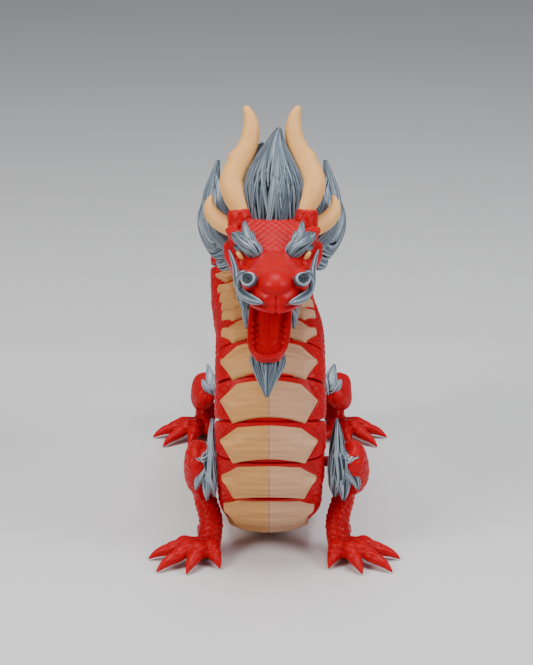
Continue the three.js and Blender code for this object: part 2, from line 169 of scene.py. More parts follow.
def tan_material(name, painted_sheen_halves):
    """Satin tan print, with painted shade in its hollows. When split in two, a painted sheen makes one side
    of the middle golden and the other pinkish.
    """
    material, tree, bsdf = principled(name)
    coords = tree.nodes.new("ShaderNodeTexCoord").outputs["Object"]
    geometry = tree.nodes.new("ShaderNodeNewGeometry")
    # painted shade: darker where the surface is hollow
    painted_crease_shading = ramp(tree, [(0.38, (0.45, 0.3, 0.2)), (0.49, (1, 1, 1))], geometry.outputs["Pointiness"])
    # painted sheen: one fixed colour on each side of the middle, golden and pinkish
    if painted_sheen_halves:
        split = tree.nodes.new("ShaderNodeSeparateXYZ")
        tree.links.new(coords, split.inputs[0])
        side = node(tree, "ShaderNodeMapRange")
        side.inputs["From Min"].default_value = -0.0008
        side.inputs["From Max"].default_value = 0.0008
        tree.links.new(split.outputs["X"], side.inputs["Value"])
        base = ramp(tree, [(0, (0.55, 0.27, 0.09)), (1, (0.56, 0.31, 0.175))], side.outputs["Result"])
        direction, pitch, strength = "X", 0.00055, 0.6
    else:
        base = ramp(tree, [(0.25, (0.78, 0.385, 0.12)), (0.75, (0.85, 0.44, 0.145))], noise(tree, coords, 90))
        direction, pitch, strength = "Z", 0.0004, 0.3
    tree.links.new(multiply(tree, base, painted_crease_shading), bsdf.inputs["Base Color"])
    rougher = ramp(tree, [(0.3, (0.36,) * 3), (0.7, (0.48,) * 3)], noise(tree, coords, 300))
    tree.links.new(rougher, bsdf.inputs["Roughness"])
    bsdf.inputs["Specular IOR Level"].default_value = 0.25
    bump_chain(tree, bsdf, [(layer_lines(tree, coords, direction, pitch), 0.00006, strength),
                            (noise(tree, coords, 60, 2), 0.0003, 0.25)])
    return material


def hair_material():
    """Silver grey locks, with painted shade, slate, in the roots and a painted highlight, pale, on the
    crests, by a per-point attribute of painted light.
    """
    material, tree, bsdf = principled("silver_hair")
    coords = tree.nodes.new("ShaderNodeTexCoord").outputs["Object"]
    painted_light_tone = node(tree, "ShaderNodeAttribute", attribute_name="painted_light_tone")
    # painted light and shade: slate where the attribute is low, pale where it is high
    base = ramp(tree, [(0.0, (0.013, 0.021, 0.031)), (0.4, (0.062, 0.088, 0.118)),
                       (0.75, (0.19, 0.24, 0.285)), (1.0, (0.40, 0.47, 0.53))], painted_light_tone.outputs["Fac"])
    mottled = ramp(tree, [(0.3, (0.8, 0.82, 0.86)), (0.7, (1.0, 1.0, 1.0))], noise(tree, coords, 220))
    tree.links.new(multiply(tree, base, mottled), bsdf.inputs["Base Color"])
    bsdf.inputs["Metallic"].default_value = 0.2
    bsdf.inputs["Roughness"].default_value = 0.36
    bump_chain(tree, bsdf, [(layer_lines(tree, coords, "Z", 0.0004), 0.00003, 0.3),
                            (noise(tree, coords, 900), 0.00004, 0.3)])
    return material


RED = red_material("red_gloss")
# a darker copy of the red print: painted shade for the hinge pin that sits in a recess
RED_PAINTED_RECESS_SHADE = red_material("red_painted_recess_shade", light=(0.22, 0.001, 0.002), crease_shade_colour=(0.06, 0.0, 0.001), rough=0.5)
TAN = tan_material("tan_horn", False)
# belly plates, with the painted sheen of a golden side and a pinkish side
PLATE = tan_material("tan_plate", True)
HAIR = hair_material()


# ------------------------------------------------------------------ mesh tools
def piece(name, verts, faces, material, body, stands_for=(), painted_light_tone=None, recalc=True):
    """Makes one visible piece from points in millimetres, on a body of the frame."""
    mesh = bpy.data.meshes.new(name)
    mesh.from_pydata((np.asarray(verts) * MM).tolist(), [], [list(map(int, f)) for f in faces])
    if recalc:
        bm = bmesh.new()
        bm.from_mesh(mesh)
        bmesh.ops.recalc_face_normals(bm, faces=bm.faces)
        bm.to_mesh(mesh)
        bm.free()
    mesh.polygons.foreach_set("use_smooth", [True] * len(mesh.polygons))
    # a per-point attribute of painted light and shade, read by the hair material
    if painted_light_tone is not None:
        mesh.attributes.new("painted_light_tone", "FLOAT", "POINT").data.foreach_set("value", np.asarray(painted_light_tone, np.float32))
    mesh.materials.append(material)
    mesh.update()
    made = bpy.data.objects.new(name, mesh)
    bpy.context.scene.collection.objects.link(made)
    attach(made, body)
    if stands_for:
        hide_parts(*stands_for)
    return made


def grid_faces(rows, cols, start=0, wrap=True):
    """Quads over a grid of points whose first one has the number start."""
    r = np.arange(rows - 1)[:, None]
    c = np.arange(cols if wrap else cols - 1)[None, :]
    a = r * cols + c
    b = r * cols + (c + 1) % cols
    return (np.stack([a, b, b + cols, a + cols], -1).reshape(-1, 4) + start).tolist()


def capped_tube(rings, start=0):
    """rings: (rows, cols, 3) array; closed with a point at each end."""
    rows, cols = rings.shape[:2]
    verts = np.concatenate([rings.reshape(-1, 3), rings[0].mean(0)[None], rings[-1].mean(0)[None]])
    faces = grid_faces(rows, cols, start)
    low, high = start + rows * cols, start + rows * cols + 1
    last = start + (rows - 1) * cols
    faces += [[low, start + (k + 1) % cols, start + k] for k in range(cols)]
    faces += [[high, last + k, last + (k + 1) % cols] for k in range(cols)]
    return verts, faces


def catmull(points, count):
    """Smooth curve through rows of numbers, any width."""
    p = np.asarray(points, float)
    p = np.concatenate([[2 * p[0] - p[1]], p, [2 * p[-1] - p[-2]]])
    place = np.linspace(0, len(p) - 3 - 1e-9, count)
    k = place.astype(int)
    t = (place - k)[:, None]
    a, b, c, d = p[k], p[k + 1], p[k + 2], p[k + 3]
    return 0.5 * (2 * b + (c - a) * t + (2 * a - 5 * b + 4 * c - d) * t ** 2
                  + (3 * b - a - 3 * c + d) * t ** 3)


def rounded(v, power):
    """Turns the cosine or sine of a circle into that of a rounder or squarer section."""
    return np.sign(v) * np.abs(v) ** power


def sweep(rows, side, around=32, along=60, power=1.0):
    """rows: x, y, z, half width, half thickness. side is the width direction. Returns rings."""
    s = catmull(rows, along)
    centre, width, thick = s[:, :3], np.maximum(s[:, 3], 0.05), np.maximum(s[:, 4], 0.05)
    tangent = np.gradient(centre, axis=0)
    tangent /= np.linalg.norm(tangent, axis=1)[:, None]
    side = np.asarray(side, float)
    wide = side[None] - tangent * (tangent @ side)[:, None]
    wide /= np.linalg.norm(wide, axis=1)[:, None]
    normal = np.cross(tangent, wide)
    angle = np.linspace(0, 2 * math.pi, around, endpoint=False)
    cosine, sine = rounded(np.cos(angle), power), rounded(np.sin(angle), power)
    return centre[:, None] + wide[:, None] * (width[:, None] * cosine)[..., None] \
        + normal[:, None] * (thick[:, None] * sine)[..., None]


def fish_scales(p, q, width):
    """Height 0..1 of overlapping scales whose tips point towards +q. p, q in millimetres."""
    row_step = width * 0.62
    row = np.floor(q / row_step)
    best = np.zeros_like(p)
    for back in range(4):
        j = row - back
        offset = np.where(np.mod(j, 2) > 0.5, 0.5, 0.0)
        centre = (np.round(p / width - offset) + offset) * width
        dx = (p - centre) / (0.55 * width)
        dy = (q - j * row_step) / (row_step * 2.3)
        r = np.sqrt(dx ** 2 + dy ** 2)
        height = (0.08 + 0.92 * dy) * (1 - 0.3 * smoothstep(0.86, 1.0, r)) * (1 - 0.3 * dx ** 2)
        best = np.maximum(best, np.where(r < 1, height, 0))
    return best


# ------------------------------------------------------------------ chain frames
# joints along the chain from the head to the tail, and the free end of the last link
ENDS = [joint_at("head_nod")] + [joint_at(f"bend_{n}") for n in CHAIN[:CHEST]] \
    + [joint_at(f"bend_{n}") for n in CHAIN[CHEST + 1:]]
ENDS.append(ENDS[-1] + unit(ENDS[-1] - ENDS[-2]) * TAIL_END_PITCH)


class Link:
    """Frame of one link: z towards the head, y towards the back, x sideways."""

    def __init__(self, i):
        self.name, self.size = CHAIN[i], SIZE[i]
        self.z = unit(ENDS[i] - ENDS[i + 1])
        lean = math.atan2(self.z[1], self.z[2])
        self.y = np.array([0, math.cos(lean), -math.sin(lean)])
        self.x = np.cross(self.y, self.z)
        self.origin = (ENDS[i] + ENDS[i + 1]) / 2
        self.half = np.linalg.norm(ENDS[i] - ENDS[i + 1]) / 2
        self.neck = self.name.startswith("neck")

    def world(self, p):
        return self.origin + p[..., :1] * self.x + p[..., 1:2] * self.y + p[..., 2:3] * self.z

    def gap(self, y):
        """Space to the next link: narrow under the belly of the neck, wide where it bends shut."""
        return 0.9 + 2.1 * smoothstep(-4, 14, y) if self.neck else 3.0 + 0 * y

    def plane(self, other, sign, x, y):
        """Height over x, y of the end that halves the angle to the other link."""
        d = other.z if other else self.z
        n = unit(np.array([self.x @ d, self.y @ d, self.z @ d]) + [0, 0, 1])
        gap = self.gap(y)
        return sign * (self.half - gap / 2) - (n[0] * x + n[1] * y) / n[2]


LINKS = [Link(i) for i in range(len(CHAIN))]


def ends_of(i, x, y):
    """Height of a link's tail end and head end over the point x, y of its section."""
    above = LINKS[i - 1] if i > 0 else None
    below = LINKS[i + 1] if i + 1 < len(LINKS) else None
    return LINKS[i].plane(below, -1, x, y), LINKS[i].plane(above, 1, x, y)


def outline(count, width, back, belly, power=0.8):
    """Section of a link, a rounded box that is deeper towards the back."""
    angle = np.linspace(0, 2 * math.pi, count, endpoint=False) + math.pi / 2
    sine = np.sin(angle)
    return width * rounded(np.cos(angle), power), np.where(sine > 0, back, belly) * rounded(sine, power)


# profile of the two ends of a link: end (0 tail, 1 head), distance into the link, share of the outline
TAIL_RIM = [(0, 4.2, 0.5), (0, 4.2, 0.88), (0, 0.9, 0.905), (0, 0.3, 0.92), (0, 0.0, 0.935), (0, 0.0, 0.955),
            (0, 0.08, 0.98), (0, 0.25, 0.994)]
HEAD_RIM = [(1, 0.25, 0.993), (1, 0.08, 0.975), (1, 0.0, 0.955), (1, 0.0, 0.92), (1, 0.2, 0.89)]
# collar that reaches into the next link's dish: share of the gap, distance past it, share of the outline
COLLAR = [(0.35, 0, 0.92), (1, 0.3, 0.88), (1, 0.8, 0.84), (1, 0.8, 0.45)]
CHEST_ASIDE = 1.2


def aside_of(i):
    """The photographed chest is turned a little, which shows more of one side."""
    return CHEST_ASIDE * float(smoothstep(0, 4, i) * smoothstep(CHEST + 6, CHEST + 1, i))


def build_link(i):
    """The red shell of a link: dish, scaled barrel and collar."""
    link = LINKS[i]
    around = 380 if link.neck else 260
    x, y = outline(around, HALF_WIDTH * link.size, BACK * link.size, BELLY * link.size)
    step = np.hypot(np.diff(x, append=x[0]), np.diff(y, append=y[0]))
    arc = np.cumsum(step) - step
    arc = np.where(arc > arc[-1] / 2, arc - arc[-1] - step[-1], arc)
    rows = []

    def ring(end, inward, share):
        lx, ly = x * share, y * share
        low, high = ends_of(i, lx, ly)
        length = high - low
        into = np.minimum(inward, 0.36 * length)
        z = low + into if end == 0 else high - into
        rows.append(np.stack([lx, ly, z], -1))

    for end, inward, share in TAIL_RIM:
        ring(end, inward, share)
    low, high = ends_of(i, x, y)
    body_rows = max(18, int(2 * link.half / 0.4))
    bevel = np.minimum(0.5, 0.15 * (high - low))
    first = len(rows)
    for t in np.linspace(0, 1, body_rows):
        z = (low + bevel) * (1 - t) + (high - bevel) * t
        rows.append(np.stack([x, y, z], -1))
    last = len(rows)
    for end, inward, share in HEAD_RIM:
        ring(end, inward, share)
    if i > 0:
        for through, reach, share in COLLAR:
            lx, ly = x * share, y * share
            rows.append(np.stack([lx, ly, ends_of(i, lx, ly)[1] + link.gap(ly) * through + reach], -1))
    grid = np.stack(rows)
    # scales on the back and sides, plain under the belly plate
    beside = np.abs(x) / (HALF_WIDTH * link.size)
    size = SCALE_SIZE * (0.6 + 0.4 * link.size)
    normal = np.stack([x / (HALF_WIDTH * link.size) ** 2, y / (BACK * link.size) ** 2, 0 * x], -1)
    normal /= np.linalg.norm(normal, axis=1)[:, None]
    for k in range(first, last):
        t = (k - first) / (last - 1 - first)
        fade = smoothstep(0, 0.08, t) * smoothstep(0, 0.08, 1 - t)
        height = fish_scales(arc, -grid[k][:, 2] + 40, size)
        # the scales stop at a slanted ridge on either side of the belly plate
        border = 0.90 - 0.20 * abs(2 * t - 0.95) ** 0.9
        bare = np.where(y < 0, smoothstep(border, border + 0.03, beside), 1.0)
        ridge = 0.5 * np.exp(-((beside - border) / 0.014) ** 2) * (y < 0) * fade
        grid[k] = grid[k] + normal * (SCALE_HEIGHT * (height - 0.35) * bare * fade + ridge)[:, None]
    grid[..., 0] += aside_of(i)
    verts, faces = capped_tube(grid)
    piece(f"{link.name}_shell", link.world(verts), faces, RED, link.name, (link.name,))


def build_plate(i):
    """The tan six-sided belly plate of a link, bowed to its belly."""
    link = LINKS[i]
    u = np.unique(np.concatenate([np.linspace(-1, 1, 73), [-0.03, -0.018, -0.009, 0.009, 0.018, 0.03],
                                  [-0.985, 0.985, -0.97, 0.97]]))
    w = np.linspace(-1, 1, 41)
    uu, ww = np.meshgrid(u, w, indexing="ij")
    half_width, thick = PLATE_HALF_WIDTH * link.size, PLATE_THICK * link.size
    x = half_width * uu
    seat = -(PLATE_SEAT * link.size - 2.9 * uu ** 2)
    low, high = ends_of(i, x, seat)
    side = np.abs(uu)
    # arched along the top and the bottom, then slanted to a point half way up at each side
    over = 1.5 if link.neck else 0.2
    middle = 0.5 * (high - low)
    top_slant = 1.2 + (middle - 2.1) * (side - 0.66) / 0.34
    top = high - 0.9 - np.where(side < 0.66, 1.2 * (side / 0.66) ** 2, top_slant)
    bottom_slant = (middle + over - 0.5) * (side - 0.74) / 0.26
    bottom = low - over + np.where(side < 0.74, 2.7 * (1 - (side / 0.74) ** 2), bottom_slant)
    z = bottom + (top - bottom) * (ww + 1) / 2
    # how far inside the outline, in millimetres, for the rounded edge
    reach = np.minimum(np.minimum(top - z, z - bottom), (1 - side) * half_width * 0.8)
    edge = np.sqrt(1 - np.clip(1 - reach / 0.9, 0, 1) ** 2)
    facet = smoothstep(0.2, 0.95, ww + 0.35 * side ** 2)
    # a hollow under the top crease, deeper on the lower plates of the chest
    dip = 0.24 if 11 <= i <= CHEST + 1 else 0.1
    pillow = 1.0 - 0.74 * facet - 0.3 * side ** 2 - 0.5 * smoothstep(-0.1, -1, ww) \
        - dip * np.exp(-((ww - 0.12 + 0.3 * side ** 2) / 0.24) ** 2) * (1 - side ** 2) \
        + 0.07 * np.sin(2.3 * z + 3 * uu * uu) * (1 - side)
    groove = 0.45 * np.exp(-(x / 0.2) ** 2)
    depth = 0.5 + (thick - 0.5) * pillow * edge - groove * edge
    x = x + 0.5 * aside_of(i)
    top_side = np.stack([x, seat - depth, z], -1)
    under = np.stack([x, seat + 0.5 + 2.4 * side ** 3, z], -1)
    n, m = uu.shape
    verts = np.concatenate([top_side.reshape(-1, 3), under.reshape(-1, 3)])
    faces = grid_faces(n, m, wrap=False)
    faces += [f[::-1] for f in grid_faces(n, m, n * m, wrap=False)]
    # wall between the two sheets, round the rim
    border = [(a, 0) for a in range(n)] + [(n - 1, b) for b in range(1, m)] \
        + [(a, m - 1) for a in range(n - 2, -1, -1)] + [(0, b) for b in range(m - 2, 0, -1)]
    ids = [a * m + b for a, b in border]
    faces += [[p, q, q + n * m, p + n * m] for p, q in zip(ids, ids[1:] + ids[:1])]
    stands_for = (CAD_PLATES[link.name],) if link.name in CAD_PLATES else ()
    piece(f"{link.name}_plate", link.world(verts), faces, PLATE, link.name, stands_for)


for index in range(len(CHAIN)):
    build_link(index)
    build_plate(index)


# ------------------------------------------------------------------ sculpted pieces
def blob(centre, radii, turn=(0, 0, 0), rings=24, around=32):
    """Ellipsoid; turn is degrees about X, Y, Z."""
    polar = np.linspace(0.02, math.pi - 0.02, rings)
    angle = np.linspace(0, 2 * math.pi, around, endpoint=False)
    p = np.stack([np.sin(polar)[:, None] * np.cos(angle), np.sin(polar)[:, None] * np.sin(angle),
                  np.repeat(np.cos(polar)[:, None], around, 1)], -1) * np.asarray(radii, float)
    m = np.array(Euler([math.radians(v) for v in turn]).to_matrix())
    return p @ m.T + np.asarray(centre, float)


def sculpt(parts, voxel=0.55, smooth=6, factor=0.5):
    """Melts closed tubes and blobs into one skin. Returns vertices, faces and normals."""
    verts, faces = [], []
    for rings in parts:
        v, f = capped_tube(rings, sum(len(a) for a in verts))
        verts.append(v)
        faces += f
    mesh = bpy.data.meshes.new("clay")
    mesh.from_pydata(np.concatenate(verts).tolist(), [], faces)
    bm = bmesh.new()
    bm.from_mesh(mesh)
    bmesh.ops.recalc_face_normals(bm, faces=bm.faces)
    bm.to_mesh(mesh)
    bm.free()
    clay = bpy.data.objects.new("clay", mesh)
    bpy.context.scene.collection.objects.link(clay)
    remesh = clay.modifiers.new("remesh", "REMESH")
    remesh.mode = "VOXEL"
    remesh.voxel_size = voxel
    relax = clay.modifiers.new("relax", "SMOOTH")
    relax.factor, relax.iterations = factor, smooth
    done = bpy.data.meshes.new_from_object(clay.evaluated_get(bpy.context.evaluated_depsgraph_get()))
    count = len(done.vertices)
    out = np.empty(count * 3)
    done.vertices.foreach_get("co", out)
    normals = np.empty(count * 3)
    done.vertices.foreach_get("normal", normals)
    polygons = [list(p.vertices) for p in done.polygons]
    bpy.data.objects.remove(clay)
    bpy.data.meshes.remove(mesh)
    bpy.data.meshes.remove(done)
    return out.reshape(-1, 3), polygons, normals.reshape(-1, 3)


# ------------------------------------------------------------------ head
HEAD = joint_at("head_nod")
# the photographed head looks to one side: sideways shift for each millimetre ahead of the neck joint
LOOK_ASIDE = 0.016
SIDES = (("left", -1), ("right", 1))


def at(x, ahead, up):
    """A point of the head: sideways, ahead of the neck joint and above it."""
    return np.array([HEAD[0] + x + LOOK_ASIDE * ahead, HEAD[1] - ahead, HEAD[2] + up])


def swing(rel):
    """Takes the sideways look out of points relative to the neck joint."""
    return rel + np.stack([LOOK_ASIDE * rel[:, 1], 0 * rel[:, 1], 0 * rel[:, 1]], -1)


def stations(rows):
    """Moves sweep rows from the head's own sideways, ahead and up into the frame."""
    return [[*at(x, a, u), w, t] for x, a, u, w, t in rows]


def mirrored(rows, s):
    """Stations for one side: s is -1 on the left and 1 on the right."""
    return stations([[x * s, a, u, w, t] for x, a, u, w, t in rows])


def head_loft(rows, around=72, along=90, power=0.86):
    """rows: ahead, centre height, half width, up, down."""
    s = catmull(rows, along)
    angle = np.linspace(0, 2 * math.pi, around, endpoint=False)
    sine = np.sin(angle)
    ahead, lift = s[:, :1], s[:, 1:2]
    x = s[:, 2:3] * rounded(np.cos(angle), power)
    z = np.where(sine > 0, s[:, 3:4], s[:, 4:5]) * rounded(sine, power)
    return np.stack([HEAD[0] + x + LOOK_ASIDE * ahead, HEAD[1] - np.repeat(ahead, around, 1),
                     HEAD[2] + lift + z], -1)


def build_skull():
    """Skull and muzzle in one skin, with scales on the crown and the cheeks."""
    # the head's outline from the neck to the tip of the muzzle
    parts = [head_loft([
        [7, 0, 11.5, 8.4, 8.4], [15, -0.5, 16.5, 9.8, 11], [27, -1.5, 18.6, 10.8, 7.6],
        [35, -3, 18.2, 9.6, 6.2], [41, -5, 16.6, 8.4, 4.2], [47, -7, 14.0, 6.8, 2.4],
        [54, -8.5, 11.2, 5.2, 3.2], [62, -8.5, 10.2, 6.4, 4.6], [70, -8.5, 10.4, 8.2, 5.4],
        [80, -9.5, 10.2, 7.4, 4.8], [88, -11, 8.0, 5.0, 3.4], [91.5, -11.8, 4.6, 2.8, 2]])]
    # bulb of the nose, bridge, middle of the lip, and the stem and ball of the neck joint
    parts.append(blob(at(0, 83.0, -7.0), (7.6, 8.8, 6.6)))
    parts.append(blob(at(0, 68, -4.2), (8.0, 15, 4.6), (6, 0, 0)))
    parts.append(blob(at(0, 89.6, -12.4), (4.2, 2.6, 3.0)))
    parts.append(sweep(stations([[0, 12, 0, 2, 2], [0, 0, 0, 1.9, 1.9]]), (1, 0, 0), 16, 8))
    parts.append(blob(HEAD, (3.8, 3.8, 3.8)))
    for _, s in SIDES:
        # cheeks
        parts.append(blob(at(14.0 * s, 29, -8), (4.9, 15, 12.5)))
        parts.append(blob(at(13.2 * s, 43, -12.5), (3.4, 12, 7.5), (-12, 0, 0)))
        # upper lip and the wing of the nose
        parts.append(sweep(mirrored([[13.4, 50, -10.5, 1.8, 2], [12.0, 62, -12.6, 1.9, 2],
                                     [10.8, 74, -13.6, 1.9, 1.8], [8.0, 84.5, -14.4, 1.8, 1.6],
                                     [3.4, 90, -14.8, 1.6, 1.5], [0, 91.2, -15.2, 1.4, 1.4]], s),
                           (0, 0, 1), 16, 44))
        parts.append(blob(at(9.2 * s, 81, -5.8), (4.2, 6.4, 4.6), (0, 0, 14 * s)))
        # ridges over and under the eye
        parts.append(sweep(mirrored([[3.6, 52, -4.2, 1.6, 2], [9, 49.5, -1.2, 2.6, 3],
                                     [14.2, 43, 1.4, 2.6, 3], [18, 34, 2.6, 1.6, 2]], s),
                           (0, 0, 1), 16, 30))
        parts.append(sweep(mirrored([[9.5, 60, -9, 1.8, 2.4], [14.4, 50, -9.4, 2.2, 2.6],
                                     [17.4, 40, -7.4, 2, 2.6], [18.6, 32, -4, 1.4, 2]], s),
                           (0, 0, 1), 16, 30))
        # sockets of the tall horn and of the ear horn
        parts.append(sweep(mirrored([[13.2, 31, 3, 5.4, 5.4], [13.7, 29.6, 7.6, 5.1, 5.3],
                                     [13.9, 29, 9.8, 4.6, 4.9]], s), (1, 0, 0), 24, 14))
        parts.append(blob(at(14.6 * s, 25, 0.6), (5.0, 5.6, 4.6)))
    v, f, n = sculpt(parts, 0.5, 5)
    rel = v - HEAD
    ahead, up = -rel[:, 1], rel[:, 2]
    top = smoothstep(-0.1, 0.25, n[:, 2] - 0.35 * n[:, 1]) * smoothstep(57, 46, ahead) \
        * smoothstep(-9, -4, up)
    flank = smoothstep(0.5, 0.8, np.abs(n[:, 0])) * smoothstep(52, 40, ahead) * smoothstep(8, 14, ahead)
    crown = fish_scales(rel[:, 0], ahead * 1.15 - up * 0.5 + 60, 3.3)
    cheek = fish_scales(up, 80 - ahead, 3.6)
    height = 0.6 * top * (crown - 0.3) + 0.5 * flank * (1 - top) * (cheek - 0.3)
    philtrum = 0.7 * np.exp(-(swing(rel)[:, 0] / 0.7) ** 2) * smoothstep(88, 91, ahead) \
        * smoothstep(-8, -10, up)
    v = v + n * (height - philtrum)[:, None]
    piece("skull_skin", v, f, RED, "head", ("skull",), recalc=False)


def build_jaw():
    """Lower jaw: a basin with a rim, small teeth near the tip and a tongue, and the hinge pin."""
    pin = joint_at("jaw_hinge")
    pin_aside = LOOK_ASIDE * 38
    slope = math.radians(28.5)
    lean = 0.05
    along = np.array([0, -math.cos(slope), -math.sin(slope)])
    above = np.array([0, -math.sin(slope), math.cos(slope)])

    def jaw(x, d, h):
        """A point of the jaw: sideways, along it from the pin and above it."""
        aside = pin_aside - lean * max(d, 0)
        return pin + np.array([x + aside, 0, 0]) + along * d + above * h

    def rows(table):
        return [[*jaw(x, d, h), w, t] for x, d, h, w, t in table]

    # basin, rim, teeth, lugs round the pin and tongue
    parts = [sweep(rows([[0, -4, 0, 6.4, 3.0], [0, 8, -1.2, 7.0, 2.8], [0, 22, -1.4, 7.4, 2.4],
                         [0, 36, -1.3, 7.6, 2.3], [0, 44, -1.0, 6.9, 2.2], [0, 48.6, -0.4, 4.6, 1.9]]),
                   (1, 0, 0), 40, 60, 0.62)]
    rim = [[6.4, -2, 1.2, 1.5, 1.5], [6.9, 10, 1.4, 1.3, 1.4], [7.5, 24, 1.4, 1.2, 1.35],
           [7.5, 36, 1.2, 1.2, 1.3], [6.7, 43.5, 1.2, 1.2, 1.2], [4.6, 47.4, 1.2, 1.2, 1.1],
           [1.6, 48.8, 1.2, 1.2, 1.1], [0, 48.9, 1.2, 1.2, 1.1]]
    for _, s in SIDES:
        parts.append(sweep(rows([[x * s, d, h, w, t] for x, d, h, w, t in rim]), above, 18, 70))
        for d in (31, 34.5, 38, 41.5):
            parts.append(blob(jaw((6.4 - max(0, d - 38) * 0.15) * s, d, 1.9), (0.8, 1.2, 0.8)))
        parts.append(blob(jaw(6.2 * s, 0, 0), (1.6, 4.4, 4.2)))
    parts.append(sweep(rows([[0, 3, 1.4, 3.6, 1.2], [0, 16, 1.5, 4.0, 1.2], [0, 30, 1.4, 4.2, 1.1],
                             [0, 39, 1.2, 3.6, 0.9], [0, 43.5, 0.8, 1.6, 0.6]]), (1, 0, 0), 24, 50, 0.7))
    v, f, n = sculpt(parts, 0.42, 4)
    rel = v - pin
    d, h = rel @ along, rel @ above
    under = smoothstep(0.1, -0.4, n @ above) * smoothstep(0, 5, d)
    v = v + n * (0.3 * under * (fish_scales(rel[:, 0], 90 - d, 3.4) - 0.3))[:, None]
    groove = 0.3 * np.exp(-((rel[:, 0] - pin_aside + lean * d) / 0.5) ** 2) \
        * smoothstep(0.3, 0.9, n @ above) * smoothstep(2, 6, d)
    v = v - n * (groove * smoothstep(46, 42, d))[:, None]
    piece("lower_jaw_skin", v, f, RED, "jaw", ("lower_jaw",), recalc=False)
    # the hinge pin, in the darker copy of the red: painted shade of its recess
    pin_rows = np.array([[pin[0] + x, pin[1], pin[2], r, r] for x, r in
                         ((-14.4, 1.1), (-13.9, 1.45), (0, 1.5), (13.9, 1.45), (14.4, 1.1))])
    v, f = capped_tube(sweep(pin_rows, (0, 0, 1), 24, 24))
    piece("jaw_pin_rod", v, f, RED_PAINTED_RECESS_SHADE, "head", ("jaw_pin",))


def build_horns():
    """Two tall horns with a shoulder half way up, and two short ear horns."""
    for side, s in SIDES:
        tall = [[12.8, 29.5, 5, 4.3, 4.8], [13.9, 28, 10.5, 4.2, 4.7], [16.0, 26, 15.5, 4.9, 4.8],
                [17.0, 23.5, 20.3, 5.2, 4.6], [15.2, 21, 25.3, 5.1, 4.4], [12.8, 19.2, 29.4, 4.9, 4.2],
                [10.7, 17.8, 33.4, 4.3, 3.8], [9.4, 16.4, 37, 3.9, 3.5], [8.9, 15.2, 41, 3.5, 3.2],
                [9.2, 13.8, 45.2, 2.8, 2.6], [10.4, 12.8, 48.6, 1.9, 1.8], [11.2, 12.3, 50.4, 0.9, 0.9]]
        rings = sweep(mirrored(tall, s), (1, 0, 0), 40, 120)
        # shoulder half way up, on the outer side
        rise = rings[..., 2] - HEAD[2]
        outside = np.clip((rings[..., 0] - rings[..., 0].mean(1)[:, None]) * s / 4, 0, 1)
        rings[..., 0] += s * (0.9 * np.exp(-((rise - 31.6) / 1.3) ** 2) * outside)
        v, f = capped_tube(rings)
        piece(f"horn_{side}_skin", v, f, TAN, "head", (f"horn_{side}",))
        short = [[14.5, 26.5, 0.4, 4.2, 4.0], [18.6, 24.6, 1.8, 4.1, 3.9], [22.4, 22.4, 3.4, 3.9, 3.7],
                 [25.2, 20.4, 5.9, 3.5, 3.3], [26.4, 18.8, 8.8, 2.7, 2.5], [26.2, 17.6, 11.4, 1.6, 1.5],
                 [25.6, 17, 13.2, 0.6, 0.6]]
        rings = sweep(mirrored(short, s), (0, 1, 0), 32, 60)
        v, f = capped_tube(rings)
        piece(f"ear_horn_{side}_skin", v, f, TAN, "head", (f"ear_horn_{side}",))


# ------------------------------------------------------------------ hair
def strand(path, outward, radius, flat=0.75, around=8):
    """Tapered lock along path; outward gives the lit side. Returns rings and their painted light: a painted
    highlight on the lit side and painted shade on the far side.
    """
    tangent = np.gradient(path, axis=0)
    tangent /= np.linalg.norm(tangent, axis=1)[:, None] + 1e-9
    across = np.cross(tangent, outward)
    across /= np.linalg.norm(across, axis=1)[:, None] + 1e-9
    normal = np.cross(across, tangent)
    angle = np.linspace(0, 2 * math.pi, around, endpoint=False)
    ring = path[:, None] + across[:, None] * (radius[:, None] * np.cos(angle))[..., None] \
        + normal[:, None] * (flat * radius[:, None] * np.sin(angle))[..., None]
    # painted highlight on the outward, lit side of the lock, painted shade under it
    painted_light_tone = np.clip(0.3 + 0.7 * np.sin(angle), 0, 1) ** 1.5
    return ring, np.repeat(painted_light_tone[None], len(path), 0)


